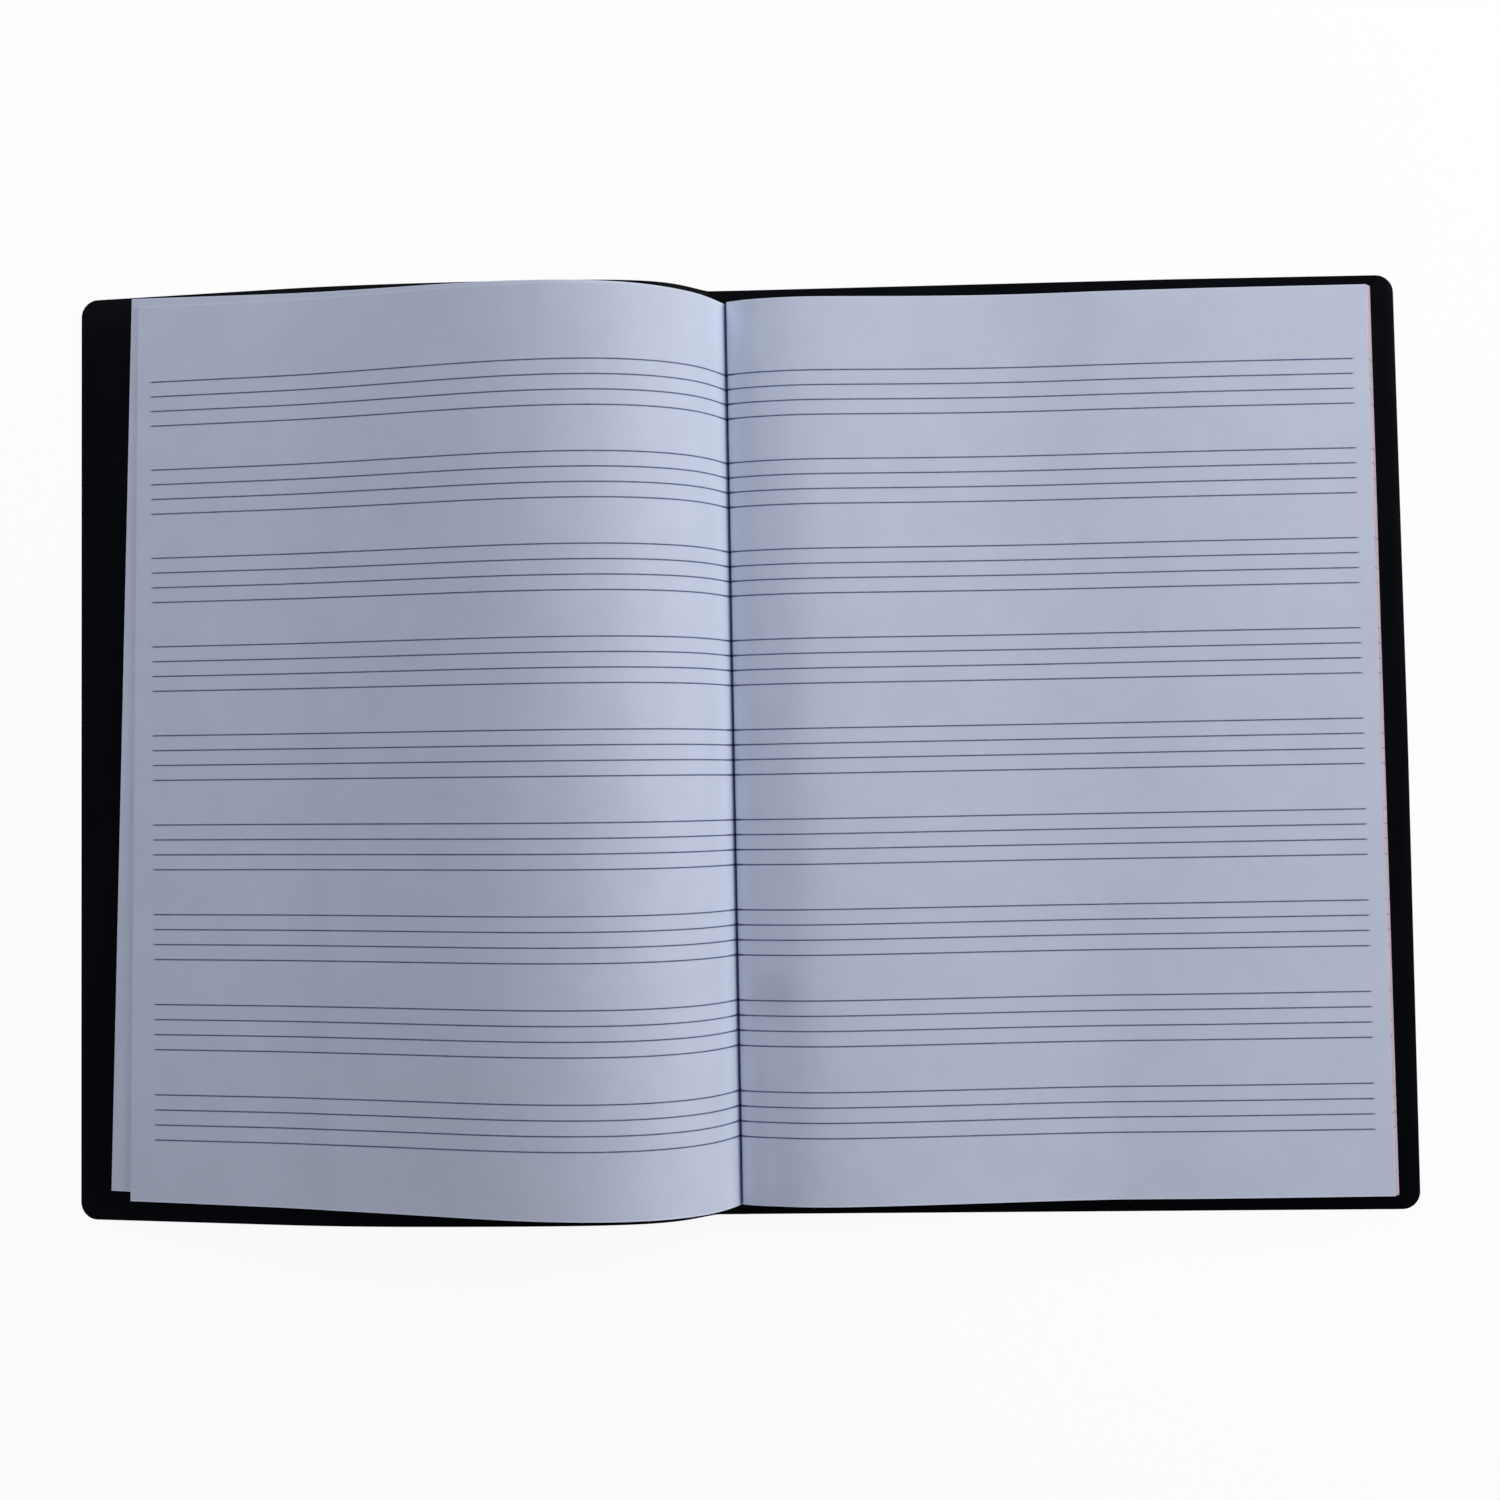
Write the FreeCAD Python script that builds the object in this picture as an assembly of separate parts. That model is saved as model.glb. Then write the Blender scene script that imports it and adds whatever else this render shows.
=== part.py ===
import FreeCAD, Part
import math
import os

# An exercise book with a flexible plastic cover, lying open a fifth of the way in.
# The origin is on the table, under the middle of the spine strip, between the cover's creases.
# X runs across the spread from the front cover to the back cover, Y up the pages, Z up.

V = FreeCAD.Vector

# Sheets
page_height = 240.0
page_width = 174.0
left_stack = 1.8          # thickness of the sheets turned to the left
upper_sheets = 0.6        # the top few of them, which have slipped on the rest
right_stack = 6.0         # thickness of the sheets on the right
gutter_gap = 0.3          # dark slit between the two blocks
gutter_height = 3.9       # height above the table at which they part
gutter_shift = 1.3        # the slit is this far from the middle of the spine, towards the back cover

# Cover, one sheet of plastic with two creases
cover_thickness = 0.5
cover_panel = 176.6       # width of the front and the back panel, each
head_overhang = 4.0       # cover beyond the sheets at head and tail
corner_radius = 6.5

# Arch of the left half
page_arch = 34.8          # highest point of the left sheets above the table
page_arch_run = 35.3      # its distance from the middle of the spine
page_take_up = 13.6       # width of sheet that the arch takes up
page_lands = 128.0        # where the sheets come to lie on the cover
cover_arch = 16.4         # highest point of the front cover above the table
cover_arch_run = 54.8
cover_take_up = 5.2
cover_lands = 118.0       # where the front cover's arch ends in its straight outer part
cover_lie = 11.0          # slope of that part, in degrees

# How the sheets have slewed and slipped on each other
upper_slew = 0.75         # turn of the left half's upper sheets on the binding, in degrees
lower_slew = 1.35         # turn of the sheets under them
lower_step = 3.6          # how far those show past the upper ones at the fore-edge
fore_edge_slant = 2.6     # the bottom sheet on the right reaches this much past the top one

# Swell of the right sheets beside the gutter
swell_height = 4.1
swell_run = 26.0
swell_end = 100.0
swell_take_up = 2.4       # width of sheet that the swell takes up

spare = 10.0              # sheets are drawn this much too long before they are cut to their plan

cover_height = page_height + 2 * head_overhang
crease = (left_stack + right_stack) / 2
cover_reach = crease + cover_panel - cover_take_up
gutter_left = gutter_shift - gutter_gap / 2
gutter_right = gutter_shift + gutter_gap / 2
page_reach = page_width - gutter_shift - page_take_up
right_reach = page_width + gutter_shift - swell_take_up
right_top = cover_thickness + right_stack
lie = math.radians(cover_lie)


def lying_cover(run):
    """Inner face of the front cover's straight outer part, at a distance from the middle of the spine."""
    return (-run, cover_thickness + (cover_reach - run) * math.tan(lie))


def lying_sheets(run, height):
    """Top of sheets that lie on that part of the cover, stacked to a height."""
    x, z = lying_cover(run)
    return (x, z + height / math.cos(lie))


def curve(poles, degree=3):
    """Smooth curve in the XZ plane that starts and ends along its first and last legs."""
    spline = Part.BSplineCurve()
    spline.buildFromPoles([V(x, 0, z) for x, z in poles], False, degree)
    return spline.toShape()


def line(start, end):
    return Part.makeLine(V(start[0], 0, start[1]), V(end[0], 0, end[1]))


def page_profile(height):
    """Top face of the left sheets, from the binding over the arch to the fore-edge."""
    sink = left_stack - height
    foot = gutter_left - sink
    poles = [
        (foot, cover_thickness),
        (foot, 0.4 * gutter_height),
        (foot - 0.035 * page_arch_run, 0.55 * gutter_height),
        (-0.155 * page_arch_run - 0.93 * sink, 0.655 * page_arch - 0.37 * sink),
        (-0.86 * page_arch_run - 0.35 * sink, 1.104 * page_arch - sink),
        (-2.2 * page_arch_run, 0.865 * page_arch - sink),
        lying_sheets(0.81 * page_lands, height),
        lying_sheets(page_lands, height),
    ]
    return curve(poles)


def layer(low, high, reach, slew):
    """Sheets of the left half between two heights in the stack, slewed on the binding."""
    under = page_profile(low)
    over = page_profile(high)
    under_end = lying_sheets(reach + spare, low)
    over_end = lying_sheets(reach + spare, high)
    foot = (gutter_left - (left_stack - low), cover_thickness)
    foot_over = (gutter_left - (left_stack - high), cover_thickness)
    wire = Part.Wire([
        over,
        line(lying_sheets(page_lands, high), over_end),
        line(over_end, under_end),
        line(under_end, lying_sheets(page_lands, low)),
        under,
        line(foot, foot_over),
    ])
    sheets = Part.Face(wire).extrude(V(0, 2 * page_height, 0))
    sheets.translate(V(0, -page_height, 0))
    half = page_height / 2
    rise = (reach + gutter_shift) * math.tan(math.radians(slew))
    slant = half * math.tan(math.radians(slew))
    corners = [
        (gutter_shift, -half),
        (gutter_shift, half),
        (slant - reach, half + rise),
        (-slant - reach, rise - half),
    ]
    plan = Part.Face(Part.makePolygon([V(x, y, 0) for x, y in corners + corners[:1]]))
    return sheets.common(plan.extrude(V(0, 0, 2 * page_arch)))


def left_pages():
    """Sheets turned to the left: the upper few have slewed less than the lower ones, which show past them."""
    split = left_stack - upper_sheets
    upper = layer(split, left_stack, page_reach, upper_slew)
    lower = layer(0, split, page_reach + lower_step, lower_slew)
    return upper.fuse(lower)


def right_pages():
    """Sheets still on the right: flat under, with a low swell beside the gutter and a slanted fore-edge."""
    half = page_height / 2
    top = curve([
        (gutter_right, gutter_height),
        (0.28 * swell_run, gutter_height + 0.8 * swell_height),
        (0.78 * swell_run, right_top + 1.3 * swell_height),
        (1.78 * swell_run, right_top + 0.63 * swell_height),
        (0.71 * swell_end, right_top),
        (swell_end, right_top),
    ])
    corners = [
        (swell_end, right_top),
        (right_reach, right_top),
        (right_reach + fore_edge_slant, cover_thickness),
        (gutter_right, cover_thickness),
        (gutter_right, gutter_height),
    ]
    sides = [line(a, b) for a, b in zip(corners, corners[1:])]
    block = Part.Face(Part.Wire([top] + sides)).extrude(V(0, page_height, 0))
    block.translate(V(0, -half, 0))
    return block


def panel_outline(inner, outer, height):
    """Plan of one cover panel: square at its crease, rounded at its two free corners."""
    side = math.copysign(1, outer - inner)
    half = cover_height / 2
    start = outer - side * corner_radius
    bend = corner_radius * math.sqrt(0.5)
    edges = [
        Part.makeLine(V(inner, -half, height), V(start, -half, height)),
        Part.Arc(
            V(start, -half, height),
            V(start + side * bend, -half + corner_radius - bend, height),
            V(outer, -half + corner_radius, height),
        ).toShape(),
        Part.makeLine(V(outer, -half + corner_radius, height), V(outer, half - corner_radius, height)),
        Part.Arc(
            V(outer, half - corner_radius, height),
            V(start + side * bend, half - corner_radius + bend, height),
            V(start, half, height),
        ).toShape(),
        Part.makeLine(V(start, half, height), V(inner, half, height)),
        Part.makeLine(V(inner, half, height), V(inner, -half, height)),
    ]
    return Part.Face(Part.Wire(edges))


def back_cover():
    return panel_outline(crease, crease + cover_panel, 0).extrude(V(0, 0, cover_thickness))


def spine():
    """Strip between the creases, flat on the table under the bound edges of the sheets."""
    strip = Part.makeBox(2 * crease, cover_height, cover_thickness)
    strip.translate(V(-crease, -cover_height / 2, 0))
    return strip


def cover_profile(drop):
    """Inner face of the front cover for no drop, outer face for a drop of its thickness."""
    poles = [
        (-crease, cover_thickness - drop),
        (-crease - 0.08 * cover_arch_run - drop, 0.3 * cover_arch - 0.6 * drop),
        (-0.37 * cover_arch_run - 0.7 * drop, 1.03 * cover_arch - 0.8 * drop),
        (-1.27 * cover_arch_run, cover_arch - drop),
        (lying_cover(0.85 * cover_lands)[0], lying_cover(0.85 * cover_lands)[1] - drop / math.cos(lie)),
        (lying_cover(cover_lands)[0], lying_cover(cover_lands)[1] - drop / math.cos(lie)),
    ]
    return poles


def front_cover():
    """Front panel, arched up beside its crease and lying at a slant to its free edge on the table."""
    inner = cover_profile(0)
    outer = cover_profile(cover_thickness)
    edge = (-cover_reach, cover_thickness)
    wire = Part.Wire([
        curve(inner),
        line(inner[-1], edge),
        line(edge, (-cover_reach, 0)),
        line((-cover_reach, 0), outer[-1]),
        curve(outer),
        line(outer[0], inner[0]),
    ])
    sheet = Part.Face(wire).extrude(V(0, cover_height, 0))
    sheet.translate(V(0, -cover_height / 2, 0))
    plan = panel_outline(-crease, -cover_reach, -spare).extrude(V(0, 0, 2 * page_arch))
    return sheet.common(plan)


def main():
    os.makedirs("parts", exist_ok=True)
    for make in (front_cover, spine, back_cover, left_pages, right_pages):
        make().exportStep("parts/" + make.__name__ + ".step")


main()
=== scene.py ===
import math

import bmesh
import bpy
from mathutils import Matrix, Vector, noise


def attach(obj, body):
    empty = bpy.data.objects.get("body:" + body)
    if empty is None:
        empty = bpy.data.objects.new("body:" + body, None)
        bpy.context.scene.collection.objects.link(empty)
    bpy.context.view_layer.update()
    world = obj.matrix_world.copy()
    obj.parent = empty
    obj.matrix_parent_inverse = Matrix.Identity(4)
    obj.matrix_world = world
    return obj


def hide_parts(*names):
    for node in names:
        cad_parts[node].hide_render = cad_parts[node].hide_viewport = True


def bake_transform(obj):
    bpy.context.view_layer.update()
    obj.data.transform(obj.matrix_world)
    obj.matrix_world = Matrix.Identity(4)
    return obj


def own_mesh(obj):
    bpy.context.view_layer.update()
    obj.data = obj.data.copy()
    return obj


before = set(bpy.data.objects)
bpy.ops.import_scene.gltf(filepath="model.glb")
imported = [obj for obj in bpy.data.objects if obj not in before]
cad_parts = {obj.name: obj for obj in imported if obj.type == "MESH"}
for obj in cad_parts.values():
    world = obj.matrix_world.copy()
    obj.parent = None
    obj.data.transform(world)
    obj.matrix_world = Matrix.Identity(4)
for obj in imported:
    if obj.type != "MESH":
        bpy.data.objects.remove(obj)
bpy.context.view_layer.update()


# Camera
# It hangs two thirds of a metre above the open book and looks almost straight down,
# tipped a little towards the head of the pages and a little towards the front cover.

camera = bpy.data.objects.new("camera", bpy.data.cameras.new("camera"))
bpy.context.scene.collection.objects.link(camera)
camera_place = Vector((0.02813, -0.00673, 0.6613))
tilt = Vector((0.0513, 0.0338, -0.0144))
camera.matrix_world = Matrix.Translation(camera_place) @ Matrix.Rotation(tilt.length, 4, tilt)
camera.data.lens = 59.18
camera.data.sensor_width = 36
camera.data.shift_y = -0.0704
camera.data.clip_start = 0.01
bpy.context.scene.camera = camera


# Back cover
# The back panel of the cover: flexible black plastic, half a millimetre thick, cut with
# rounded free corners. It lies flat on the table under the sheets that are still to come,
# and the binding draws the cover's head in a little at the spine.

cover_thickness = 0.5
cover_height = 248.0
crease = 3.9
cover_panel = 176.6
cover_corner = 4.7
cover_rim = 0.14
row_height = 12.0
sharp_angle = math.radians(40)
cover_draw = 0.75
draw_run = 119.0
plastic_black = (0.0006, 0.0011, 0.0024, 1)
plastic_worn = (0.0016, 0.0024, 0.0048, 1)


class Wire:
    """An output of a material's node, with sums on it written as ordinary sums."""

    def __init__(self, tree, socket=None):
        self.tree = tree
        self.socket = socket

    def node(self, kind, settings=None, inputs=None, output=0):
        made = self.tree.nodes.new("ShaderNode" + kind)
        for name, value in (settings or {}).items():
            setattr(made, name, value)
        for name, value in (inputs or {}).items():
            if isinstance(value, Wire):
                self.tree.links.new(value.socket, made.inputs[name])
            else:
                made.inputs[name].default_value = value
        return Wire(self.tree, made.outputs[output])

    def maths(self, operation, *values, clamp=False):
        settings = {"operation": operation, "use_clamp": clamp}
        return self.node("Math", settings, dict(enumerate(values)))

    def __add__(self, other):
        return self.maths("ADD", self, other)

    def __sub__(self, other):
        return self.maths("SUBTRACT", self, other)

    def __rsub__(self, other):
        return self.maths("SUBTRACT", other, self)

    def __mul__(self, other):
        return self.maths("MULTIPLY", self, other)

    def __truediv__(self, other):
        return self.maths("DIVIDE", self, other)

    def __mod__(self, other):
        return self.maths("FLOORED_MODULO", self, other)

    def __lt__(self, other):
        return self.maths("LESS_THAN", self, other)

    def __gt__(self, other):
        return self.maths("GREATER_THAN", self, other)

    def __abs__(self):
        return self.maths("ABSOLUTE", self)

    __radd__ = __add__
    __rmul__ = __mul__

    def ramp(self, start, end):
        """0 before start, 1 after end, with a soft rise between them."""
        settings = {"interpolation_type": "SMOOTHSTEP"}
        return self.node("MapRange", settings, {"Value": self, "From Min": start, "From Max": end})

    def colours(self, low, high):
        """From the low colour where this is 0 to the high colour where it is 1.
        A Mix node's colours are its inputs 6 and 7 and its output 2."""
        return self.node("Mix", {"data_type": "RGBA"}, {0: self, 6: low, 7: high}, 2)


def new_material(name, **constants):
    material = bpy.data.materials.new(name)
    material.use_nodes = True
    shader = material.node_tree.nodes["Principled BSDF"]
    for socket, value in constants.items():
        shader.inputs[socket.replace("_", " ")].default_value = value
    return material, Wire(material.node_tree), shader


def connect(wire, shader, socket):
    wire.tree.links.new(wire.socket, shader.inputs[socket])


def speckle(wire, place, size, detail, roughness=0.5):
    """Soft random patches, each about this many millimetres across."""
    inputs = {"Vector": place, "Scale": 1000 / size, "Detail": detail, "Roughness": roughness}
    return wire.node("TexNoise", {}, inputs)


def cover_plastic():
    """Black plastic with a fine grain, a little greyer and duller where hands have worn it."""
    material, wire, shader = new_material("black cover plastic", IOR=1.49, Specular_IOR_Level=0.03)
    place = wire.node("TexCoord", output="Object")
    handled = speckle(wire, place, 38, 4).ramp(0.42, 0.7)
    rubbed = speckle(wire, place, 6, 6, 0.65).ramp(0.56, 0.72) * handled
    tone = (handled * 0.45 + rubbed * 0.55).colours(plastic_black, plastic_worn)
    connect(tone, shader, "Base Color")
    connect(0.47 + 0.05 * handled + 0.06 * rubbed, shader, "Roughness")
    cells = {"Vector": place, "Scale": 2600, "Smoothness": 0.7}
    grain = wire.node("TexVoronoi", {"feature": "SMOOTH_F1"}, cells)
    relief = grain * 0.6 + speckle(wire, place, 0.9, 3) * 0.5
    bump = wire.node("Bump", {}, {"Strength": 0.35, "Distance": 0.00006, "Height": relief})
    connect(bump, shader, "Normal")
    return material


plastic = cover_plastic()


def cut_across(bm, point, direction):
    everything = [*bm.verts, *bm.edges, *bm.faces]
    bmesh.ops.bisect_plane(bm, geom=everything, dist=0.0001, plane_co=point, plane_no=direction)


def cover_blank(width, column):
    """Cover panel cut from flat plastic: the crease along Y at X = 0, the free edge at X = width.
    All its rims but the one at the crease are eased, and it is cut across so that it can bend."""
    bm = bmesh.new()
    bmesh.ops.create_grid(bm, x_segments=1, y_segments=1, size=0.5)
    bmesh.ops.scale(bm, vec=(width, cover_height, 1), verts=bm.verts)
    bmesh.ops.translate(bm, vec=(width / 2, 0, 0), verts=bm.verts)
    free = [vertex for vertex in bm.verts if vertex.co.x > width / 2]
    bmesh.ops.bevel(
        bm, geom=free, offset=cover_corner, offset_type="OFFSET", affect="VERTICES",
        segments=10, profile=0.5, material=-1,
    )
    bmesh.ops.solidify(bm, geom=bm.faces, thickness=cover_thickness)
    bmesh.ops.recalc_face_normals(bm, faces=bm.faces)
    square = [edge for edge in bm.edges if edge.calc_face_angle(0) > 1.2]
    rims = [edge for edge in square if max(vertex.co.x for vertex in edge.verts) > 0.01]
    bmesh.ops.bevel(
        bm, geom=rims, offset=cover_rim, offset_type="OFFSET", affect="EDGES",
        segments=2, profile=0.5, material=-1,
    )
    columns = round(width / column)
    for number in range(1, columns):
        cut_across(bm, (number * width / columns, 0, 0), (1, 0, 0))
    rows = round(cover_height / row_height)
    for number in range(1, rows):
        cut_across(bm, (0, number * cover_height / rows - cover_height / 2, 0), (0, 1, 0))
    return bm


def lay_on_table(bm, x):
    """Puts the underside of a flat panel on the table and its middle line or crease at this X."""
    low = min(vertex.co.z for vertex in bm.verts)
    bmesh.ops.translate(bm, vec=(x, 0, -low), verts=bm.verts)


def headward(y):
    """0 on the lower half of the cover, then rising to 1 at its head."""
    return max(0, y) / cover_height * 2


def make_piece(bm, name, *materials):
    """Turns millimetres into metres and hands the mesh over as a piece."""
    bmesh.ops.scale(bm, vec=(0.001, 0.001, 0.001), verts=bm.verts)
    for face in bm.faces:
        face.smooth = True
    mesh = bpy.data.meshes.new(name)
    bm.to_mesh(mesh)
    bm.free()
    mesh.set_sharp_from_angle(angle=sharp_angle)
    for material in materials:
        mesh.materials.append(material)
    piece = bpy.data.objects.new(name, mesh)
    bpy.context.scene.collection.objects.link(piece)
    return piece


bm = cover_blank(cover_panel, column=2.5)
lay_on_table(bm, crease)
for vertex in bm.verts:
    drawn = cover_draw * headward(vertex.co.y)
    vertex.co.x -= drawn * vertex.co.x / cover_panel
    vertex.co.y -= drawn * max(0, 1 - vertex.co.x / draw_run)
back_panel = make_piece(bm, "back_cover_panel", plastic)
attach(back_panel, "back_half")
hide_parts("back_cover")


# Spine strip
# The narrow part of the same plastic between the two creases, lying flat while the book is open.

bm = bmesh.new()
bmesh.ops.create_grid(bm, x_segments=16, y_segments=20, size=0.5)
bmesh.ops.scale(bm, vec=(2 * crease, cover_height, 1), verts=bm.verts)
bmesh.ops.solidify(bm, geom=bm.faces, thickness=cover_thickness)
bmesh.ops.recalc_face_normals(bm, faces=bm.faces)
lay_on_table(bm, 0)
for vertex in bm.verts:
    vertex.co.y -= cover_draw * headward(vertex.co.y)
spine_strip = make_piece(bm, "spine_strip", plastic)
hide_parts("spine")
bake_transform(spine_strip)


# Front cover
# The front panel of the same plastic. The sheets pull it up into a low arch beside its
# crease, and from there it runs straight down to its free edge, which rests on the table.

cover_arch = 16.4
cover_arch_run = 54.8
cover_lands = 118.0
cover_reach = 175.3
lie = math.radians(11.0)
straight_steps = 24
draw_fade = 6.0


def smooth_line(poles):
    """Points along the curve that these control points draw, in X and Z."""
    guide = bpy.data.objects.new("guide", bpy.data.curves.new("guide", "CURVE"))
    guide.data.dimensions = "3D"
    spline = guide.data.splines.new("NURBS")
    spline.points.add(len(poles) - 1)
    for point, (x, z) in zip(spline.points, poles):
        point.co = (x, 0, z, 1)
    spline.order_u = 4
    spline.use_endpoint_u = True
    spline.resolution_u = 24
    mesh = bpy.data.meshes.new_from_object(guide)
    points = [vertex.co.copy() for vertex in mesh.vertices]
    bpy.data.objects.remove(guide)
    return points


def lying_cover(run):
    """Inner face of the cover's straight outer part, this far from the middle of the spine."""
    return (-run, cover_thickness + (cover_reach - run) * math.tan(lie))


def bend_along(bm, points):
    """Bends a flat sheet, made along X with its inner face at Z = 0, to follow the line of points.
    The line runs the other way along X, so the faces are turned to point outwards again."""
    lengths = [0.0]
    for a, b in zip(points, points[1:]):
        lengths.append(lengths[-1] + (b - a).length)
    for vertex in bm.verts:
        run = min(max(vertex.co.x, 0), lengths[-1])
        after = next((i for i, length in enumerate(lengths) if length >= run and i), 1)
        share = (run - lengths[after - 1]) / (lengths[after] - lengths[after - 1])
        ahead = (points[min(after + 1, len(points) - 1)] - points[after - 1]).normalized()
        behind = (points[after] - points[max(after - 2, 0)]).normalized()
        way = behind.lerp(ahead, share).normalized()
        up = Vector((way.z, 0, -way.x))
        place = points[after - 1].lerp(points[after], share) + up * vertex.co.z
        vertex.co = (place.x, vertex.co.y, place.z)
    bmesh.ops.recalc_face_normals(bm, faces=bm.faces)


cover_line = smooth_line([
    (-crease, cover_thickness),
    (-crease - 1.2, cover_thickness + 0.1),
    (-crease - 0.08 * cover_arch_run, 0.3 * cover_arch),
    (-0.37 * cover_arch_run, 1.03 * cover_arch),
    (-1.27 * cover_arch_run, cover_arch),
    lying_cover(0.85 * cover_lands),
    lying_cover(cover_lands),
])
for step in range(1, straight_steps + 1):
    x, z = lying_cover(cover_lands + (cover_reach - cover_lands) * step / straight_steps)
    cover_line.append(Vector((x, 0, z)))
cover_length = sum((b - a).length for a, b in zip(cover_line, cover_line[1:]))

bm = cover_blank(cover_length, column=1.6)
high = max(vertex.co.z for vertex in bm.verts)
bmesh.ops.translate(bm, vec=(0, 0, -high), verts=bm.verts)
bend_along(bm, cover_line)
for vertex in bm.verts:
    near_crease = math.exp((vertex.co.x + crease) / draw_fade)
    vertex.co.y -= cover_draw * near_crease * headward(vertex.co.y)
front_panel = make_piece(bm, "front_cover_panel", plastic)
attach(front_panel, "front_half")
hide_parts("front_cover")
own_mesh(front_panel)


# Sheets on the right
# The larger part of the book block: uncoated school paper, ruled in groups of four fine
# blue lines. It lies flat, swells a little beside the gutter, and its fore-edge slants.

half_page = 119.8
binding_slant = 0.0056
mesh_columns = 110
mesh_ranks = 44
right_thick = 6.0
right_slant = 2.6
right_splay = 0.006
right_skew = 0.0048
right_down = 0.4
right_slip = 0.2
swell_from = 10.0
swell_to = 100.0
swell_twist = 0.018
tail_spare = 0.6
tail_spare_fade = 45.0

first_line = 100.086
line_scale = 0.993
line_gap = 4
group_lines = 4
group_gap = 24
line_groups = 9

paper_colour = (0.470, 0.512, 0.634, 1)
paper_shade = (0.446, 0.486, 0.606, 1)
line_colour = (0.052, 0.070, 0.172, 1)
# Painted shade: a dark navy band right beside the gutter, where the pages meet and shade falls.
gutter_shade_colour = (0.030, 0.080, 0.320, 1)
# Painted light: a paler paper colour towards the gutter, standing in for light going to and fro between the
# pages.
painted_light_colour = (0.610, 0.660, 0.800, 1)
# Painted highlight along the trimmed head and tail of the sheets.
edge_highlight_colour = (0.560, 0.600, 0.710, 1)
painted_light_width = 6.0
gutter_shade_strength = 0.6
edge_highlight_strength = 0.6
edge_shade = (0.330, 0.262, 0.335, 1)
edge_colour = (0.520, 0.445, 0.520, 1)
tick_colour = (0.050, 0.040, 0.085, 1)

stain = {
    "centre": (0.0133, -0.0650, 0.006), "full": 3.0, "gone": 14.0, "ragged": 7,
    "strength": 0.42, "colour": (0.300, 0.270, 0.330, 1),
}
speck = {
    "centre": (0.0185, 0.1003, 0.0098), "full": 0.16, "gone": 0.36, "ragged": 0,
    "strength": 0.5, "colour": (0.200, 0.190, 0.240, 1),
}


def flat_page(wire):
    """Where each point lies on the sheets when they are flat, in millimetres, with its X and its Y."""
    place = wire.node("Attribute", {"attribute_name": "ruling"}, output="Vector")
    axes = wire.node("SeparateXYZ", {}, {0: place}).socket.node.outputs
    return place, Wire(wire.tree, axes["X"]), Wire(wire.tree, axes["Y"])


def ruled_lines(wire, y, width):
    """Ink of the ruling at a height on the page, in groups of lines that are each this wide."""
    down = (first_line - y) / line_scale + line_gap / 2
    group = down % group_gap
    off_line = abs(group % line_gap - line_gap / 2) * line_scale
    printed = (group < group_lines * line_gap) * (down > 0) * (down < line_groups * group_gap)
    return (1 - (off_line / width).ramp(0.25, 0.75)) * printed


def paper(name, ruled_from, ruled_to, slant, gutter, gutter_shade_width, glow, marks=()):
    """Uncoated paper, ruled from one X to another, in millimetres, by lines that thin out at the ends.
    Its colour holds painted light: it is paler towards the gutter, standing in for light that goes
    to and fro between the pages, then a painted dark navy shade darkens it right beside the gutter,
    and a painted highlight makes it paler along the trimmed head and tail. A mark is a stain that is
    full up to one distance from its centre and gone from another, in millimetres, with a ragged outline."""
    material, wire, shader = new_material(name, IOR=1.45, Specular_IOR_Level=0.16, Roughness=0.88)
    place = wire.node("TexCoord", output="Object")
    _, x, y = flat_page(wire)
    cloud = speckle(wire, place, 11, 3)
    fibres = speckle(wire, place, 0.8, 3, 0.6)
    tone = (cloud * 0.55 + fibres * 0.45).ramp(0.34, 0.66).colours(paper_shade, paper_colour)
    off_gutter = abs(x - gutter)
    # Painted light: the paper is paler towards the gutter, for light going to and fro between the pages.
    tone = (glow - glow * off_gutter.ramp(0, painted_light_width)).colours(tone, painted_light_colour)
    # Painted shade: dark navy within about a millimetre of the gutter, where shade falls between the pages.
    gutter_shade = gutter_shade_strength - gutter_shade_strength * off_gutter.ramp(0, gutter_shade_width)
    tone = gutter_shade.colours(tone, gutter_shade_colour)
    # Painted highlight: the paper is paler within half a millimetre of the head and tail, where the cut edges
    # catch the light.
    margin = wire.node("Attribute", {"attribute_name": "margin"}, output="Fac")
    edge_highlight = edge_highlight_strength - edge_highlight_strength * margin.ramp(0.2, 0.5)
    tone = edge_highlight.colours(tone, edge_highlight_colour)
    for mark in marks:
        ends = {0: place, 1: mark["centre"]}
        away = wire.node("VectorMath", {"operation": "DISTANCE"}, ends, "Value") * 1000
        if mark["ragged"]:
            away = away + mark["ragged"] * speckle(wire, place, 7, 2)
        soaked = 1 - away.ramp(mark["full"], mark["gone"])
        tone = (soaked * mark["strength"]).colours(tone, mark["colour"])
    inside = (x - y * slant - ruled_from).ramp(0, 1.2) * (ruled_to + y * slant - x).ramp(0, 1.2)
    near = 1 - off_gutter.ramp(0.2, 2.4)
    ink = ruled_lines(wire, y, 0.20 + 0.18 * inside + 0.22 * near) * inside
    ink = ink * (0.80 + 0.3 * speckle(wire, place, 2.2, 3))
    connect(ink.colours(tone, line_colour), shader, "Base Color")
    relief = fibres + speckle(wire, place, 0.25, 2) * 0.5 + speckle(wire, place, 18, 2) * 5
    bump = wire.node("Bump", {}, {"Strength": 0.25, "Distance": 0.00004, "Height": relief})
    connect(bump, shader, "Normal")
    return material


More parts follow.
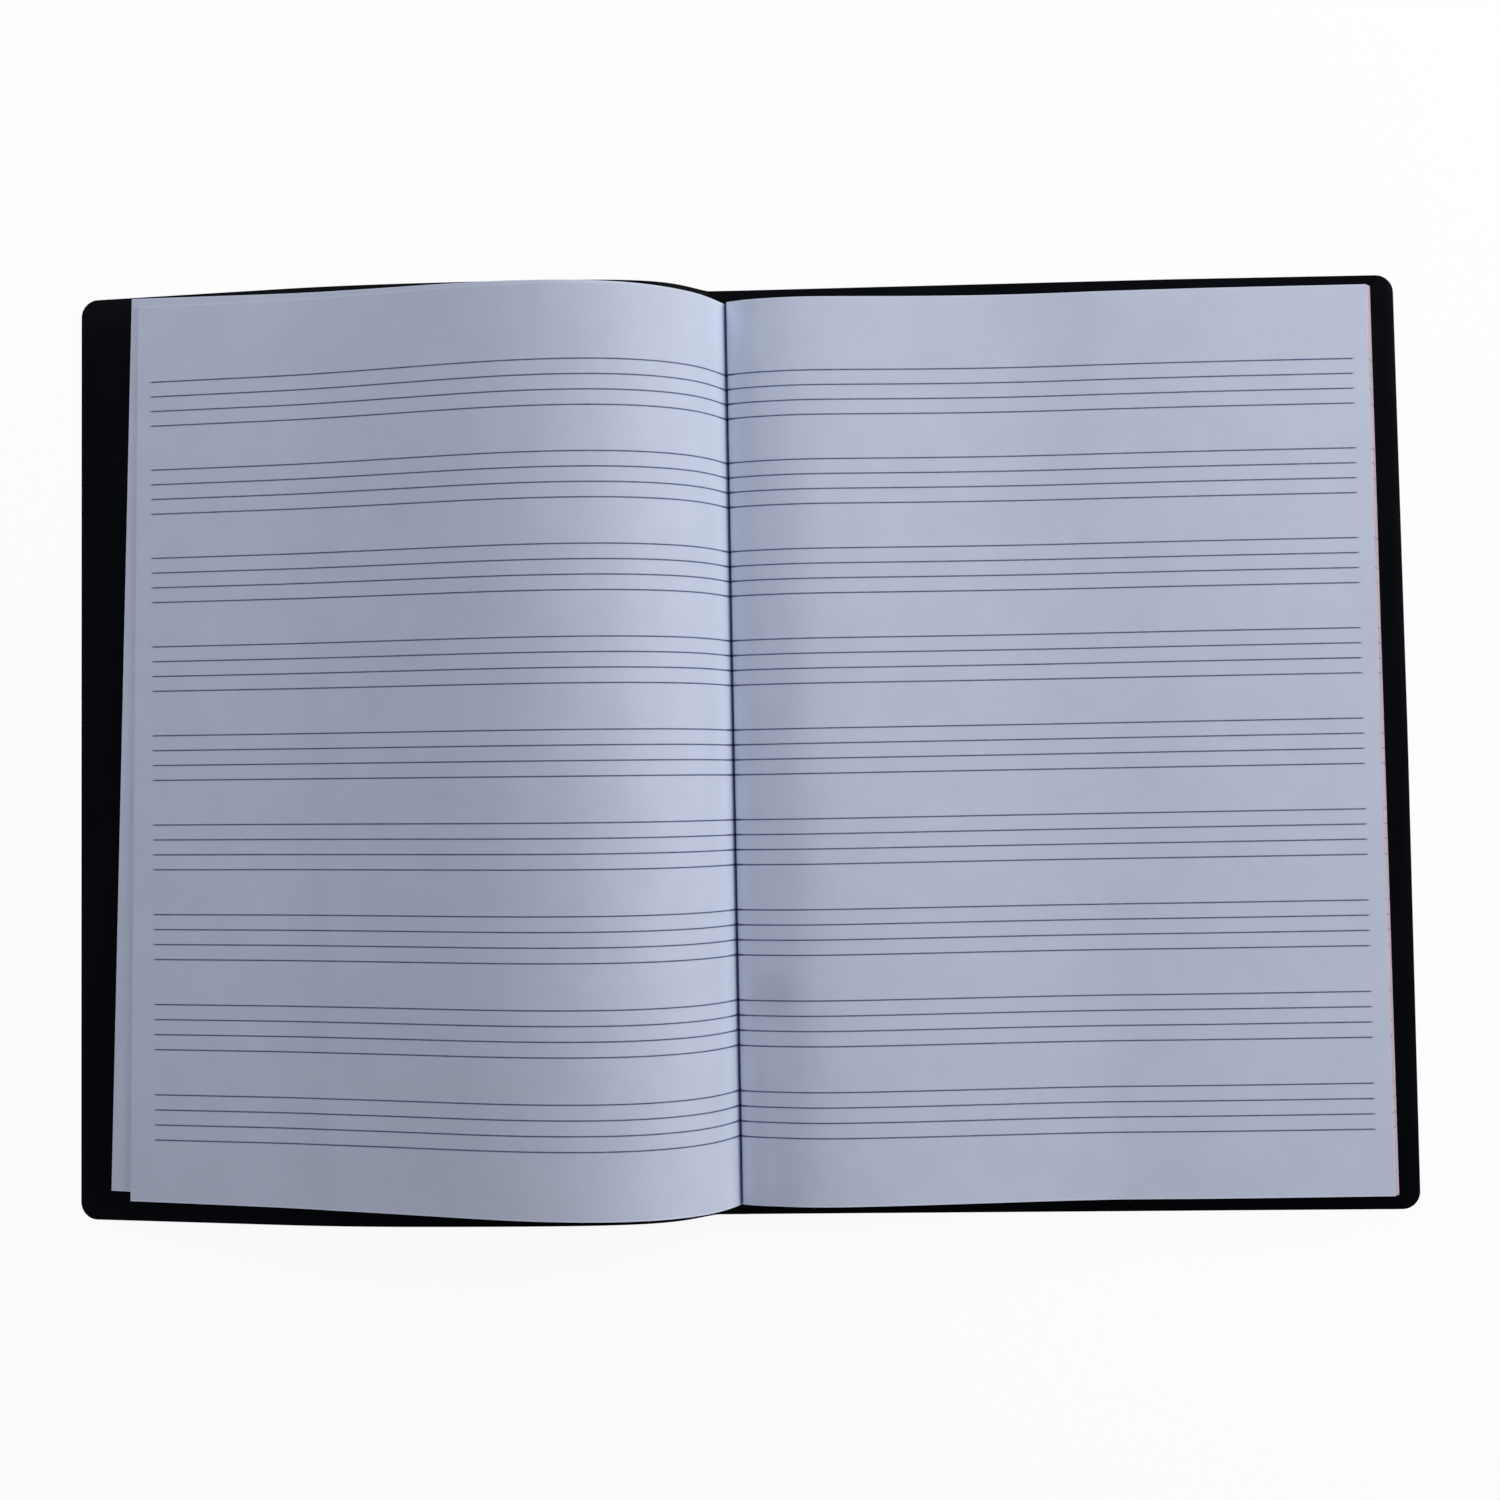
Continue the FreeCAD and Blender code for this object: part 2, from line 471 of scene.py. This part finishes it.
def sheet_edges():
    """Cut edges of the stacked sheets: a fine line for each sheet, and in patches a tick where its
    ruling runs off."""
    material, wire, shader = new_material("cut sheet edges", IOR=1.45, Specular_IOR_Level=0.12, Roughness=0.9)
    flat, _, y = flat_page(wire)
    stretched = wire.node("Mapping", {}, {"Vector": flat, "Scale": (0.02, 0.02, 5.0)})
    noises = {"Vector": stretched, "Scale": 1.6, "Detail": 3.0, "Roughness": 0.6}
    lines = wire.node("TexNoise", {}, noises).ramp(0.34, 0.66)
    patches = wire.node("TexNoise", {}, {"Vector": flat, "Scale": 1.3, "Detail": 2.0})
    ticks = ruled_lines(wire, y, 0.45) * patches.ramp(0.42, 0.62)
    tone = lines.colours(edge_shade, edge_colour)
    connect((ticks * 0.7).colours(tone, tick_colour), shader, "Base Color")
    bump = wire.node("Bump", {}, {"Strength": 0.5, "Distance": 0.00005, "Height": lines})
    connect(bump, shader, "Normal")
    return material


edges = sheet_edges()


def sheet_block(rows):
    """A block of sheets. X runs from 0 to 1 across, Y from -1 to 1 along, and Z counts the rows.
    Its open faces get a piece's first material, its cut edges the second. The layer that it
    returns is for each point's place on the flat sheets."""
    bm = bmesh.new()
    bmesh.ops.create_grid(bm, x_segments=mesh_columns, y_segments=mesh_ranks, size=1)
    bmesh.ops.scale(bm, vec=(0.5, 1, 1), verts=bm.verts)
    bmesh.ops.translate(bm, vec=(0.5, 0, 0), verts=bm.verts)
    grown = bmesh.ops.extrude_face_region(bm, geom=bm.faces)["geom"]
    raised = [part for part in grown if isinstance(part, bmesh.types.BMVert)]
    bmesh.ops.translate(bm, vec=(0, 0, rows - 1), verts=raised)
    walls = [edge for edge in bm.edges if abs(edge.verts[0].co.z - edge.verts[1].co.z) > 0.5]
    bmesh.ops.subdivide_edges(bm, edges=walls, cuts=rows - 2, use_grid_fill=True)
    bmesh.ops.recalc_face_normals(bm, faces=bm.faces)
    for face in bm.faces:
        face.material_index = 0 if abs(face.normal.z) > 0.5 or face.normal.x < -0.5 else 1
    ruling = bm.verts.layers.float_vector.new("ruling")
    margin = bm.verts.layers.float.new("margin")
    for vertex in bm.verts:
        vertex[margin] = half_page * (1 - abs(vertex.co.y))
    return bm, ruling


def stack_rows(low, high, layers, slip, seed):
    """Heights in a stack, two for each layer of a few sheets, with how far that layer has slipped."""
    rows = []
    for layer in range(layers):
        moved = slip * noise.noise(Vector((layer * 0.9, seed, 0)))
        rows.append((low + (high - low) * layer / layers, moved))
        rows.append((low + (high - low) * (layer + 1) / layers, moved))
    return rows


def between(value, start, end):
    """0 up to start, 1 from end on, and an even rise between them."""
    return min(max((value - start) / (end - start), 0), 1)


def share_of(points, share):
    """The point at a share, from 0 to 1, of the way through a list of points."""
    place = between(share, 0, 1) * (len(points) - 1)
    before = min(int(place), len(points) - 2)
    return points[before].lerp(points[before + 1], place - before)


right_line = smooth_line([
    (1.60, 4.0), (1.72, 4.3), (5.7, 6.9), (12.5, 8.7), (20.7, 10.9), (36.1, 10.2),
    (85.0, 5.2), (120.8, 8.1), (155.0, 7.35), (171.7, 7.3),
])
right_rows = stack_rows(0, 1, layers=26, slip=right_slip, seed=3.1)

bm, ruling = sheet_block(len(right_rows))
for vertex in bm.verts:
    across = vertex.co.x
    share, slip = right_rows[round(vertex.co.z)]
    point = share_of(right_line, across)
    x = point.x + (right_slant * (1 - share) + slip) * across ** 6
    longer = tail_spare * math.exp(-x / tail_spare_fade) if vertex.co.y < 0 else 0
    splay = 1 + right_splay * (1 - share) * across ** 4
    y = vertex.co.y * (half_page + 0.5 * slip + longer) * splay
    swell = math.sin(math.pi * between(x, swell_from, swell_to))
    z = cover_thickness + (point.z - swell_twist * y * swell - cover_thickness) * share
    vertex.co = (x - binding_slant * y, y + right_skew * x - right_down, z)
    vertex[ruling] = (x, y, share * right_thick)

right_paper = paper(
    "ruled paper on the right", ruled_from=-3, ruled_to=168.1, slant=0.0029,
    gutter=1.5, gutter_shade_width=0.5, glow=0.65, marks=(stain, speck),
)
right_sheets = make_piece(bm, "right_sheets", right_paper, edges)
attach(right_sheets, "back_half")
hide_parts("right_pages")
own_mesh(right_sheets)


# Sheets on the left
# The sheets already turned, of the same paper. They stand up out of the gutter, arch over
# and come down on the front cover. They have slewed on the binding, the lower ones more.

left_stack = 1.8
upper_sheets = 0.6
left_slip = 0.16
page_lands = 128.0
arched_columns = 0.84
upper_reach = 159.4
lower_reach = 163.2
upper_slew = math.tan(math.radians(0.57))
lower_slew = math.tan(math.radians(1.42))
slant_run = 60.0
arch_twist = 0.0116
arch_twist_run = 104.0
dent_from_gutter = 50.0
dent_width = 3.2
dent_depth = 0.22
dent_from = 90.0
dent_full = 116.0
left_down = 0.32
gutter_down = 0.4
gutter_down_fade = 12.0
tail_down = 0.45
tail_down_rate = 0.0045
tail_down_reach = 150.0
tail_down_run = 60.0
print_low = 0.25
print_low_rate = 0.003
print_low_gutter = 0.15
print_low_fade = 5.0


def lying_sheets(run):
    """Top sheet where the stack lies on the cover."""
    x, z = lying_cover(run)
    return (x, z + left_stack / math.cos(lie))


left_line = smooth_line([
    (1.54, 0.5), (1.54, 2.7), (1.05, 3.0), (-5.4, 21.3), (-24.6, 35.3), (-52.4, 34.7),
    (-76.2, 26.9), (-106.6, 16.0), lying_sheets(118), lying_sheets(page_lands),
])
left_ups = []
last = len(left_line) - 1
for number in range(last + 1):
    way = left_line[min(number + 1, last)] - left_line[max(number - 1, 0)]
    left_ups.append(Vector((way.z, 0, -way.x)).normalized())


def turned_sheets(low, high, layers, reach, slew, seed):
    """A block of the left sheets between two heights in the stack, with its own reach and slew."""
    rows = stack_rows(low, high, layers, left_slip, seed)
    bm, ruling = sheet_block(len(rows))
    for vertex in bm.verts:
        height, slip = rows[round(vertex.co.z)]
        across, y = vertex.co.x, vertex.co.y * half_page
        if across <= arched_columns:
            along = across / arched_columns
            point = share_of(left_line, along) - share_of(left_ups, along) * (left_stack - height)
        else:
            beyond = (across - arched_columns) / (1 - arched_columns)
            end = reach + slip - y * slew
            x, z = lying_cover(page_lands + (end - page_lands) * beyond)
            point = Vector((x, 0, z + height / math.cos(lie)))
        bound = between(point.x, -slant_run, 0) ** 2
        gutter_side = min(point.x, 0)
        arch = math.sin(math.pi * between(-point.x, 0, arch_twist_run))
        dent = math.exp(-((point.x + dent_from_gutter) / dent_width) ** 2)
        dent = dent_depth * dent * between(y, dent_from, dent_full)
        tail = tail_down_rate * max(0, point.x + tail_down_reach) * between(-y, 0, tail_down_run)
        down = left_down + gutter_down * math.exp(gutter_side / gutter_down_fade) + min(tail, tail_down)
        drop = arch_twist * arch * (half_page - y) + dent
        vertex.co = (point.x - bound * binding_slant * y, y - point.x * slew - down, point.z - drop)
        low_by = print_low + print_low_rate * point.x
        low_by += print_low_gutter * math.exp(gutter_side / print_low_fade)
        vertex[ruling] = (point.x, vertex.co.y + low_by, height)
    bmesh.ops.recalc_face_normals(bm, faces=bm.faces)
    mesh = bpy.data.meshes.new("turned_sheets")
    bm.to_mesh(mesh)
    bm.free()
    return mesh


split = left_stack - upper_sheets
bm = bmesh.new()
bm.from_mesh(turned_sheets(0, split, 8, lower_reach, lower_slew, seed=7.7))
bm.from_mesh(turned_sheets(split + 0.01, left_stack, 4, upper_reach, upper_slew, seed=4.2))

left_paper = paper(
    "ruled paper on the left", ruled_from=-154.8, ruled_to=3, slant=-0.0055,
    gutter=1.3, gutter_shade_width=1.0, glow=0.42,
)
left_sheets = make_piece(bm, "left_sheets", left_paper, edges)
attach(left_sheets, "front_half")
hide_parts("left_pages")
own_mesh(left_sheets)


# Table and light
# A plain white table top in a white studio: a large soft lamp low beside the back cover, two
# weaker ones beyond the head of the front cover and overhead, and an even glow all round.

table_white = (0.86, 0.86, 0.87, 1)
ceiling_grey = (0.12, 0.12, 0.13, 1)
white = (1, 1, 1, 1)
studio_glow = (0.80, 0.82, 1, 1)


def seen_by_eye(wire):
    """1 where a ray comes from the camera, straight, off gloss or through glass, and 0 elsewhere."""
    rays = wire.node("LightPath").socket.node.outputs
    straight, off_gloss, through = (
        Wire(wire.tree, rays[name])
        for name in ("Is Camera Ray", "Is Glossy Ray", "Is Transmission Ray")
    )
    return wire.maths("ADD", straight + off_gloss, through, clamp=True)


material, wire, shader = new_material(
    "white table top", Base_Color=table_white, Roughness=0.7, Specular_IOR_Level=0.1,
)
lit = wire.node("Emission", {}, {"Color": white, "Strength": 1.0})
shaded = Wire(wire.tree, shader.outputs[0])
surface = wire.node("MixShader", {}, {0: seen_by_eye(wire) * 0.93, 1: shaded, 2: lit})
wire.tree.links.new(surface.socket, wire.tree.nodes["Material Output"].inputs["Surface"])

bm = bmesh.new()
bmesh.ops.create_grid(bm, x_segments=1, y_segments=1, size=6000)
bmesh.ops.translate(bm, vec=(0, 0, -0.05), verts=bm.verts)
table = make_piece(bm, "table_top", material)

world = bpy.data.worlds.new("studio")
bpy.context.scene.world = world
world.use_nodes = True
wire = Wire(world.node_tree)
height = wire.node("SeparateXYZ", {}, {0: wire.node("TexCoord", output="Generated")}, "Z")
ceiling = height.ramp(0.55, 0.85).colours(white, ceiling_grey)
glow = wire.node("Background", {}, {"Color": studio_glow, "Strength": 0.18})
backdrop = wire.node("Background", {}, {"Color": ceiling, "Strength": 1.0})
mixed = wire.node("MixShader", {}, {0: seen_by_eye(wire), 1: glow, 2: backdrop})
wire.tree.links.new(mixed.socket, world.node_tree.nodes["World Output"].inputs["Surface"])


def hang_lamp(name, spot, power, colour):
    """A round soft box 0.7 m across, turned to the middle of the book."""
    lamp = bpy.data.objects.new(name, bpy.data.lights.new(name, "AREA"))
    lamp.data.shape = "DISK"
    lamp.data.size = 0.7
    lamp.data.energy = power
    lamp.data.color = colour
    spot = Vector(spot)
    lamp.matrix_world = Matrix.Translation(spot) @ spot.to_track_quat("Z", "Y").to_matrix().to_4x4()
    bpy.context.scene.collection.objects.link(lamp)


hang_lamp("side_lamp", (0.95, 0.30, 0.40), 10.5, (1.0, 1.0, 0.97))
hang_lamp("head_lamp", (-0.45, 0.80, 0.55), 4.3, (0.88, 0.95, 1.0))
hang_lamp("top_lamp", (0.05, 0.25, 1.10), 3.1, (1.0, 0.93, 0.86))

bpy.context.scene.view_settings.view_transform = "Standard"
